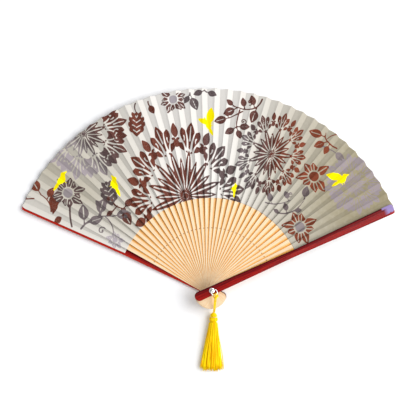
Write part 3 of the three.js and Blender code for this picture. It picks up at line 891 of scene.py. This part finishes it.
def draw_flowers(p):
    """Everything in ink, from the big flower heads to the sprigs between them."""

    def big_tone(x, y):
        return np.interp(x - big[0], [-30, 8, 30], [-0.25, 0, 0.9])

    def right_tone(x, y):
        return np.interp(x - right[0], [-24, 24], [1.1, -0.75])

    def left_tone(x, y):
        return np.interp(x + y - left[0] - left[1], [-34, -4, 34], [1.9, 1.0, 0.1])

    big = (-23.4, 89.7)
    medallion(p, big, 34.5, 55.5, 10, big_tone, turn=81, stretch=1.31)
    right = (58.0, 130.7)
    medallion(p, right, 20.5, 33, 9, right_tone, turn=70, stretch=1.3)
    left = (-121.1, 147.8)
    medallion(p, left, 22, 43, 9, left_tone, turn=20, stretch=1.05)
    medallion(p, (138.3, 102.5), 13, 30, 8, 2, turn=10)
    blossom(p, (-36.1, 182.5), 14, 9, 0.35, 1.9, turn=150, span=240)
    blossom(p, (-134.5, 91.6), 16, 11, 0.8, 1.7, turn=20)
    blossom(p, (99.4, 109.3), 17, 7, -0.8, -0.6, turn=40, span=270)
    blossom(p, (84.9, 60.4), 17, 8, -0.7, 1.5, turn=30)
    blossom(p, (-90.0, 47.7), 9, 7, 2, 2, turn=0)
    cone(p, (-70.4, 146.0), 91, 24, -0.3)
    twig(p, (-72, 178), (-74, 173), (-70, 168), 0.6, [])
    twig(p, (-60, 180), (-60, 178), (-59, 176), 0, [(0.4, -60, 9)])
    twig(p, (-20, 189), (-20, 187), (-19, 186), 1, [(0.3, -65, 13), (0.3, -120, 8)])
    twig(p, (-6, 192), (-5, 191), (-4, 190), 1, [(0.2, 200, 9), (0.5, -20, 9)])
    twig(p, (50, 184), (44, 168), (22, 177), 0.25,
         [(0.97, 140, 8), (0.9, 205, 12), (0.72, 100, 9), (0.4, 105, 10), (0.3, 250, 13)], 1.3)
    twig(p, (31, 172), (24, 168), (17, 165), 0.15, [(0.9, 195, 12), (0.95, 120, 6)])
    twig(p, (28, 173), (24, 160), (25, 156), 0.4, [(0.95, -150, 10), (0.98, -70, 9), (0.9, 0, 10)], 1.3)
    p.curl((31.5, 162), 3.4, 250, 0.35, 1.0)
    p.curl((38, 181), 3.2, 260, 0.2, 1.0)
    twig(p, (122, 137), (108, 144), (112, 152), -0.7, [(0.75, 160, 13), (0.45, 200, 11), (0.3, 240, 9)], 1.2)
    twig(p, (130, 150), (118, 152), (113, 146), -0.7, [(0.2, 130, 8)], 1.0)
    twig(p, (108, 139), (116, 136), (119, 134), 1.4, [(0.9, -40, 11)])
    twig(p, (63, 74), (80, 70), (90, 88), 1.1,
         [(0.3, 100, 8), (0.5, 10, 7), (0.95, 75, 11), (0.1, 150, 6)], 1.1)
    twig(p, (52, 84), (62, 80), (76, 86), 1.2, [(0.3, 105, 9), (0.95, 110, 8)], 1.0)
    p.curl((76, 92), 3.0, 200, 1.2, 0.8)
    p.stem((-132.5, 80), (-133, 70), (-130.5, 60), 1.8, 0.8, 0.9)
    twig(p, (-150, 74), (-150, 84), (-160, 90), -0.5, [(0.65, 62, 10), (0.98, 122, 14), (0.3, 20, 7)], 1.1)
    twig(p, (-166, 86), (-172, 86), (-176, 85), -0.4, [(0.6, 120, 8)])
    p.petal((-148.5, 71), 75, 17, 8.5, -0.2, 0.6, 0.35)
    p.petal((-147, 64.5), 20, 8, 6.5, -0.2, 0.5, 0.2)
    twig(p, (-122, 58), (-112, 72), (-92, 70), 1.15,
         [(0.15, 95, 15), (0.2, 20, 13), (0.62, 75, 14), (0.98, 10, 14)], 1.4)
    twig(p, (-104, 70), (-103, 78), (-98, 82), 1.15, [(0.5, 130, 8), (0.9, 60, 11)], 1.2)
    p.stem((-99, 69), (-90, 62), (-92, 50), 1.2, 1.2)
    p.curl((-102.5, 56.5), 3.6, 30, 1.2, 1.1)
    cone(p, (-93, 80), 105, 24, 1.0)
    twig(p, (-93, 86), (-92, 78), (-80, 77), 0.2, [(0.1, 150, 6), (0.9, 50, 10), (0.8, -60, 14)], 1.4)
    twig(p, (-93, 74), (-90, 78), (-88, 80), 0.3, [(0.3, 220, 7)])


def draw_birds(p):
    bird(p, (-141.4, 103.5), 42, 19, flip=1)
    bird(p, (-90.5, 99.5), 128, 19, flip=-1)
    bird(p, (-2.0, 157.5), 100, 17, [(70, 17), (140, 11)])
    bird(p, (22.6, 96.0), 100, 13, flip=-1)
    bird(p, (125.7, 106.0), 20, 18, [(155, 16), (120, 8)])


# ---- Leaf ----

EDGE_MARGIN = 2.1  # of the back guard left bare beside the leaf
PANEL_STEPS = 7
FREE_SHARES = [0.1, 0.2, 0.3, 0.4, 0.5, 0.6, 0.71, 0.82, 0.9, 0.97]  # across the free panel, from its valley
LEAF_ROWS = 176
RIM_START = 188  # from here outwards the rim steps in and out at the folds
CLOTH_WIDTH = 420  # of the weave across the spread leaf


def panel_height(i):
    """Underside of the panel glued to stick i, on that stick's centre line."""
    if i == 0:
        return GUARD_THICK + LEAF_GAP
    if i == STICKS - 1:
        return FRONT_GUARD_Z - 0.15
    return FIRST_RIB_Z + (i - 1) * LAYER + BLADE_THICK + LEAF_GAP


def leaf_columns():
    """(stick, share) across the leaf: 0 to 1 on a stick's glued panel, 1 to 2 on the free one after it."""
    columns = []
    for i in range(STICKS):
        columns += [(i, s) for s in np.linspace(0, 1, PANEL_STEPS)]
        if i < STICKS - 1:
            columns += [(i, 1 + s) for s in FREE_SHARES]
    return columns


def leaf_grid():
    """(rows, columns, 3) points of the leaf, and each column's share of the opening."""
    columns = leaf_columns()
    y = np.linspace(LEAF_INNER, LEAF_OUTER, LEAF_ROWS)
    guard_left = np.interp(y, *zip(*GUARD_PLAN)) - EDGE_MARGIN
    left = np.interp(y, [LEAF_INNER, LEAF_OUTER], [3.0, 2.7])
    right = np.interp(y, [LEAF_INNER, LEAF_OUTER], [2.5, 2.7])
    near_rim = np.clip((y - RIM_START) / (LEAF_OUTER - RIM_START), 0, 1) ** 2
    rib_left = np.interp(y, *zip(*RIB_PLAN))
    grid = np.zeros((LEAF_ROWS, len(columns), 3))
    shares = np.zeros(len(columns))
    for c, (i, s) in enumerate(columns):
        start = guard_left if i == 0 else left
        if s <= 1:
            x = -start + s * (start + right)
            lead = RIDGE_LEAD * (1 - 2 * s)
            local = np.stack([x, y + lead * near_rim, panel_height(i) - TILT * x], -1)
            grid[:, c] = turned_by(local, stick_turn(i))
            shares[c] = i
            continue
        u = s - 1
        step = panel_height(i + 1) - panel_height(i)
        x = right - u * (right + left)
        lift = (0.05 if i == 0 else 0.09) * min(u / 0.1, 1)
        clear = np.minimum((right + rib_left + 0.25) / (right + left), 0.97)  # past the next rib's blade
        rise = np.where(u <= clear, lift, lift + (step - lift) * (u - clear) / (1 - clear))
        lead = RIDGE_LEAD * (2 * u - 1)
        plain = np.stack([x, y + lead * near_rim, panel_height(i) + rise - TILT * x], -1)
        grid[:, c] = turned_by(plain, stick_turn(i + u))
        shares[c] = i + u
    return grid, shares / (STICKS - 1)


def khaki_at(turn, reach):
    """How far the ground has turned from white to khaki, by place on the spread leaf."""
    degrees = np.degrees(turn)
    left = np.interp(degrees, [104, 125, 143, 156], [0, 0.42, 0.7, 0.25])
    right = np.interp(degrees, [24, 40, 62, 84], [1.0, 1.0, 0.62, 0.05])
    outer = np.interp(reach, [LEAF_INNER, 150, LEAF_OUTER], [0.62, 0.95, 1.0])
    return np.maximum(left, right) * outer


def crease(mesh, columns):
    """Keeps the leaf's folds sharp."""
    folds = [c for c, (_, s) in enumerate(leaf_columns()) if s in (0, 1)]
    ends = np.zeros(len(mesh.edges) * 2, int)
    mesh.edges.foreach_get("vertices", ends)
    first, second = ends.reshape(-1, 2).T % columns
    sharp = (first == second) & np.isin(first, folds)
    mesh.attributes.new("sharp_edge", "BOOLEAN", "EDGE").data.foreach_set("value", sharp)


def print_on(mesh, points, shares):
    """Puts what the cloth's material reads on the mesh: ink, tone, birds, ground colour and weave."""
    x, y = points[:, 0], points[:, 1]
    flowers, birds = Print(x, y), Print(x, y)
    draw_flowers(flowers)
    draw_birds(birds)
    turn, reach = np.arctan2(y, x), np.hypot(x, y)
    mark(
        mesh,
        ink=np.clip(flowers.gap, -1, 1),
        tone=np.clip(flowers.tone, -1, 2),
        bird=np.clip(birds.gap, -1, 1),
        khaki=khaki_at(turn, reach),
        along=reach,
        across=shares * CLOTH_WIDTH,
    )


def make_leaf(material):
    grid, column_shares = leaf_grid()
    rows, columns = grid.shape[:2]
    points = grid.reshape(-1, 3)
    shares = np.tile(column_shares, rows)
    corners = [r * columns + c for r in range(rows - 1) for c in range(columns - 1)]
    mesh = mesh_from("leaf", points, [(k, k + 1, k + columns + 1, k + columns) for k in corners])
    mesh.flip_normals()
    crease(mesh, columns)
    print_on(mesh, points, shares)
    leaf = piece("cloth_leaf", mesh, material)
    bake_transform(leaf)
    thick = leaf.modifiers.new("cloth", "SOLIDIFY")
    thick.thickness = LEAF_THICK * MM
    thick.offset = 1
    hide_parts("leaf")


# ---- Pivot, ring and eye ----


def revolved(profile, sides=48):
    """(points, faces) of a solid turned about the pivot axis from (radius, height) points, with flat ends."""
    turns = whole_turn(sides)
    rings = [np.stack([r * np.cos(turns), r * np.sin(turns), np.full(sides, z)], -1) for r, z in profile]
    return lofted(rings)


def washer(inner, outer, low, high):
    """(points, faces) of a flat ring with its edges taken off."""
    soft = 0.1
    profile = [(inner, low + soft), (inner + soft, low), (outer - soft, low), (outer, low + soft),
               (outer, high - soft), (outer - soft, high), (inner + soft, high), (inner, high - soft)]
    turns = whole_turn(56)
    rings = [[(r * math.cos(a), r * math.sin(a), z) for r, z in profile] for a in turns]
    return lofted(rings, closed=True)


def hoop(centre, radius, wire, flat, upright, gap=0.0):
    """(points, faces) of a wire ring in the plane of two directions, closed, or with a gap of that angle."""
    steps = 72
    if gap:
        turns = np.linspace(math.pi + gap / 2, 3 * math.pi - gap / 2, steps)
    else:
        turns = whole_turn(steps)
    path = centre + radius * (np.cos(turns)[:, None] * flat + np.sin(turns)[:, None] * upright)
    return tube(path, wire, 14, closed=not gap)


PIN_HEAD = 2.0
SPLIT_TURN = 2.2  # the split ring's seam, turned from the eye


def make_pivot(material):
    """The pin with its flush head, flange and eye, two washers, and the split ring through the eye."""
    out = np.array([math.cos(RING_DIRECTION), math.sin(RING_DIRECTION), 0])
    up = np.array([0, 0, 1.0])
    head = [(0.001, 0), (PIN_HEAD - 0.08, 0), (PIN_HEAD, 0.08), (PIN_HEAD, 0.37), (PIN_HEAD - 0.08, 0.45)]
    neck = [(PIN_RADIUS, 0.45), (PIN_RADIUS, WASHER_TOP + 0.05)]
    flange = [(1.8, WASHER_TOP + 0.05), (1.9, WASHER_TOP + 0.13), (1.88, FLANGE_TOP - 0.14),
              (1.6, FLANGE_TOP - 0.05), (0.9, FLANGE_TOP), (0.001, FLANGE_TOP)]
    shaft = revolved(head + neck + flange)
    eye = hoop(EYE - 0.1 * up, EYE_RADIUS, EYE_WIRE, out, up)
    pieces = {
        "pivot_pin": (joined([shaft, eye]), "pivot_pin", "back_guard"),
        "plated_back_washer": (washer(1.25, 2.9, 0.53, 0.88), "back_washer", "back_guard"),
        "plated_front_washer": (washer(1.25, 2.6, TOP_Z + 0.04, WASHER_TOP), "front_washer", "back_guard"),
    }
    along = out * math.cos(RING_SLOPE) - up * math.sin(RING_SLOPE)
    across = np.cross(up, out)
    c, s = np.cos(SPLIT_TURN), np.sin(SPLIT_TURN)
    centre = EYE + RING_RADIUS * along
    ring = hoop(centre, RING_RADIUS, RING_WIRE, c * along + s * across, -s * along + c * across, gap=0.06)
    pieces["split_ring"] = (ring, "jump_ring", "jump_ring")
    for name, (shape, node, body) in pieces.items():
        mesh = mesh_from(name, *shape)
        mesh.set_sharp_from_angle(angle=math.radians(50))
        obj = piece("metal_" + name, mesh, material)
        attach(obj, body)
        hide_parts(node)


# ---- Tassel ----

CORD_LENGTH = 0.065
CORD_LAY = 2.2  # length of cord in which its three plies turn once
THREADS = 340
BUNDLES = 19


def hitch_point(side, out, up):
    """A point of the hitch: side along the ring's wire, out away from the pin, and up."""
    a = HITCH_DIRECTION
    outward = np.array([math.cos(a), math.sin(a), 0])
    sideways = np.array([-math.sin(a), math.cos(a), 0])
    return HITCH + side * sideways + out * outward + np.array([0, 0, up])


def cord_route():
    """From the knob over the edge of the sticks' heads to the ring, round it in a lark's head, and back."""
    half = [(0.64, 1.35, 0.5), (0.64, 0.6, 1.02), (0.7, -0.25, 1.17), (0.95, -1.25, 0.6),
            (1.3, -1.42, -0.25), (1.72, -0.85, -1.13), (1.98, 0.6, -1.05), (2.0, 1.45, -0.25),
            (1.75, 2.0, 0.75), (0.95, 2.1, 1.5)]
    left = [(2.9, -20.1, 5.3), (2.88, -19.3, 8), (2.84, -17.9, 10.7), (2.8, -15.8, 12.7),
            (2.75, -12, 15.9), (2.75, -8.2, 19)]
    right = [(x + 1.15, y, z) for x, y, z in left[:-1]] + [(3.95, -7.9, 18.9)]
    knot = [hitch_point(-s, o, u) for s, o, u in half] + [hitch_point(s, o, u) for s, o, u in half[::-1]]
    return left + knot + right[::-1]


def make_cord(material):
    """The cord, and the path of its middle line."""
    path = catmull(cord_route(), 7)
    twist = 2 * math.pi * CORD_LENGTH / MM / CORD_LAY

    def plies(share, turns):
        return 0.88 + 0.12 * np.abs(np.cos(turns * 1.5 + twist * share))

    mesh = mesh_from("cord", *tube(path, CORD_RADIUS, 18, section=plies))
    cord = piece("silk_cord", mesh, material)
    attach(cord, "tassel")
    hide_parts("tassel_cord")
    return cord, path


def on_tassel(points):
    """Points (sideways, down the tassel, height) in the frame."""
    s, down, z = np.moveaxis(np.asarray(points, float), -1, 0)
    return turned_by(np.stack([s, -down, z], -1), -TASSEL_LEAN) + TASSEL_TOP


def round_tassel(radius, down, turn):
    """Points at a radius, a distance down the tassel and a turn about its axis."""
    radius, down = np.broadcast_arrays(radius, down)
    return np.stack([radius * np.cos(turn), down * np.ones_like(turn), TASSEL_Z + radius * np.sin(turn)], -1)


def solid_of(profile, sides=32):
    """(points, faces) of a solid turned about the tassel's axis from (radius, distance down) points."""
    turns = whole_turn(sides)
    return lofted([round_tassel(r, s, turns) for r, s in profile[::-1]])


def knob_shape():
    """A small dome of thread wound in close rings, round the hole that the cord comes out of."""
    parts = [solid_of([(0.2, 0.35), (1.9, 0.55), (2.7, 1.5), (2.9, 2.6), (2.5, KNOB_LENGTH - 0.1)])]
    turns = whole_turn(48)
    rows = 7
    for k in range(rows):
        lean = (k + 0.6) / rows * math.radians(118)
        reach = 0.3 + (KNOB_RADIUS - 0.66) * math.sin(lean)
        down = 0.42 + 2.6 * (1 - math.cos(lean))
        ply = 0.04 * np.sin(turns * 12 + k)
        parts.append(tube(round_tassel(reach + ply, down, turns), 0.36, 8, closed=True))
    return joined(parts)


def band_shape():
    """A plaited collar: a double thread that runs round three times, over and under itself, on a sleeve."""
    profile = [(3.2, BAND_START + 0.2), (3.55, BAND_START + 0.2), (3.75, (BAND_START + BAND_END) / 2),
               (3.55, BAND_END - 0.2), (3.2, BAND_END - 0.2)]
    turns = whole_turn(40)
    parts = [lofted([[round_tassel(r, s, np.array(a)) for r, s in profile] for a in turns], closed=True)]
    bights, laps = 10, 3
    t = whole_turn(720)
    height = np.sin(t * bights)
    down = (BAND_START + BAND_END) / 2 + (BAND_END - BAND_START - 0.8) / 2 * height
    reach = BAND_RADIUS - 0.62 - 0.25 * height**2 + 0.2 * np.cos(t * bights * 2 * laps)
    for side in (-0.27, 0.27):
        thread = round_tassel(reach, down + side * np.cos(t * bights), t * laps)
        parts.append(tube(thread, 0.31, 7, closed=True))
    return joined(parts)


def skirt_shape():
    """Loose threads in bundles: round through the collar, then fanned out flat on the floor."""
    at = [BAND_START + 0.3, BAND_END, BAND_END + 1.6, 22, 40, SKIRT_END]
    wide = [NECK_RADIUS - 0.4, NECK_RADIUS - 0.4, 3.95, 5.8, 9.1, SKIRT_HALF_WIDTH - 0.3]
    high = [NECK_RADIUS - 0.4, NECK_RADIUS - 0.4, 3.6, 3.5, 2.9, 2.1]
    parts = []
    for k in range(THREADS):
        turn = 2 * math.pi * (k % BUNDLES + rng.normal(0, 0.27)) / BUNDLES
        depth = math.sqrt(rng.uniform(0.12, 1.0))
        a, b = depth * math.cos(turn), depth * math.sin(turn)
        ragged = 1.6 * math.sin(turn * 5) + 1.2 * math.sin(turn * 11 + 1)
        long = SKIRT_END - 1.4 + 0.7 * ragged - rng.uniform(0, 2.6) - 1.2 * abs(a) ** 3
        in_collar = np.linspace(BAND_START + 0.3, BAND_END + 2.6, 7)
        s = np.concatenate([in_collar, np.linspace(BAND_END + 5, long, 12)])
        w, h = np.interp(s, at, wide), np.interp(s, at, high)
        loose = np.clip((s - BAND_END) / 30, 0, 1)
        sway = 0.35 * loose * np.sin(s / rng.uniform(5, 10) + rng.uniform(0, 6.3))
        middle = np.where(s > BAND_END + 0.5, h + 0.35, TASSEL_Z)
        x = w * a + sway + loose**2 * rng.normal(0, 0.42)
        z = middle + h * b + loose * rng.normal(0, 0.15)
        radius = rng.uniform(0.26, 0.34) * np.interp(s, [long - 2, long], [1, 0.55])
        parts.append(tube(np.stack([x, s, np.maximum(z, 0.32)], -1), radius, 6))
    return joined(parts)


def make_tassel(material):
    shapes = {"tassel_knob": knob_shape, "tassel_band": band_shape, "tassel_skirt": skirt_shape}
    made = []
    for node, shape in shapes.items():
        points, faces = shape()
        obj = piece("silk_" + node, mesh_from(node, on_tassel(points), faces), material)
        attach(obj, "tassel")
        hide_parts(node)
        made.append(obj)
    return made


# ---- Assembly ----

make_camera()
silk = silk_material()
cord, cord_path = make_cord(silk)
tassel = make_tassel(silk)
make_stage()
make_ribs(bamboo_material())
make_guards(lacquer_material())
make_leaf(cloth_material())
make_pivot(silver_material())
